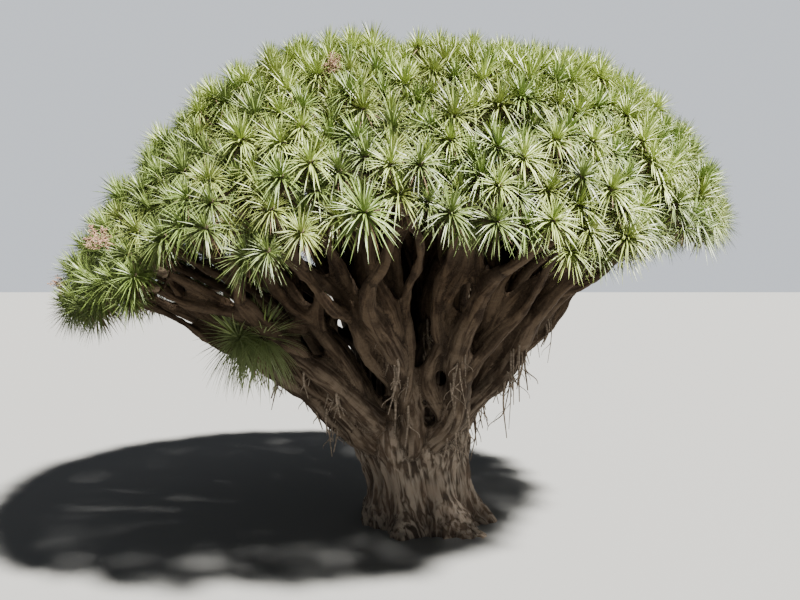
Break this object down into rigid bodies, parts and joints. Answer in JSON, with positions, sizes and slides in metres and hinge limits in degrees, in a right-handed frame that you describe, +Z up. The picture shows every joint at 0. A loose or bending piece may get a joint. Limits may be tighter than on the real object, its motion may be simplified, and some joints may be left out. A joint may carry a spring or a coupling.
{
  "type": "dragon tree",
  "caption": "Old dragon tree with a short fluted trunk, a fan of thick sinuous boughs and a dense umbrella of sword-leaf rosettes.",
  "frame": {"origin": "middle of the flat cut under the trunk, at ground level", "axes": "+Z up along the trunk, -Y towards the picture's viewer, +X to the viewer's right"},
  "size_m": [9.5581, 9.1044, 7.1686],
  "materials": {
    "trunk_bark": "rough, fissured, fibrous bark, dark brown-grey with reddish tints",
    "bough_bark": "matt scaly bark with leaf-scar rings, grey-tan",
    "leaves": "smooth, slightly waxy sword leaves, grey-green with pale sunlit faces"
  },
  "bodies": {
    "root": {"trunk": "trunk_bark", "bough_rim_01": "bough_bark", "bough_rim_02": "bough_bark", "bough_rim_03": "bough_bark", "bough_rim_04": "bough_bark", "bough_rim_05": "bough_bark", "bough_rim_06": "bough_bark", "bough_rim_07": "bough_bark", "bough_rim_08": "bough_bark", "bough_rim_09": "bough_bark", "bough_rim_10": "bough_bark", "bough_rim_11": "bough_bark", "bough_rim_12": "bough_bark", "bough_upper_01": "bough_bark", "bough_upper_02": "bough_bark", "bough_upper_03": "bough_bark", "bough_upper_04": "bough_bark", "bough_upper_05": "bough_bark", "bough_low": "bough_bark", "bough_middle_01": "bough_bark", "bough_middle_02": "bough_bark", "bough_middle_03": "bough_bark", "bough_middle_04": "bough_bark", "bough_middle_05": "bough_bark", "bough_middle_06": "bough_bark", "bough_middle_07": "bough_bark", "bough_middle_08": "bough_bark", "bough_middle_09": "bough_bark", "bough_top": "bough_bark", "foliage_low": "leaves", "foliage_middle_01": "leaves", "foliage_middle_02": "leaves", "foliage_middle_03": "leaves", "foliage_middle_04": "leaves", "foliage_middle_05": "leaves", "foliage_middle_06": "leaves", "foliage_middle_07": "leaves", "foliage_middle_08": "leaves", "foliage_middle_09": "leaves", "foliage_rim_01": "leaves", "foliage_rim_02": "leaves", "foliage_rim_03": "leaves", "foliage_rim_04": "leaves", "foliage_rim_05": "leaves", "foliage_rim_06": "leaves", "foliage_rim_07": "leaves", "foliage_rim_08": "leaves", "foliage_rim_09": "leaves", "foliage_rim_10": "leaves", "foliage_rim_11": "leaves", "foliage_rim_12": "leaves", "foliage_top": "leaves", "foliage_upper_01": "leaves", "foliage_upper_02": "leaves", "foliage_upper_03": "leaves", "foliage_upper_04": "leaves", "foliage_upper_05": "leaves"}
  },
  "joints": []
}
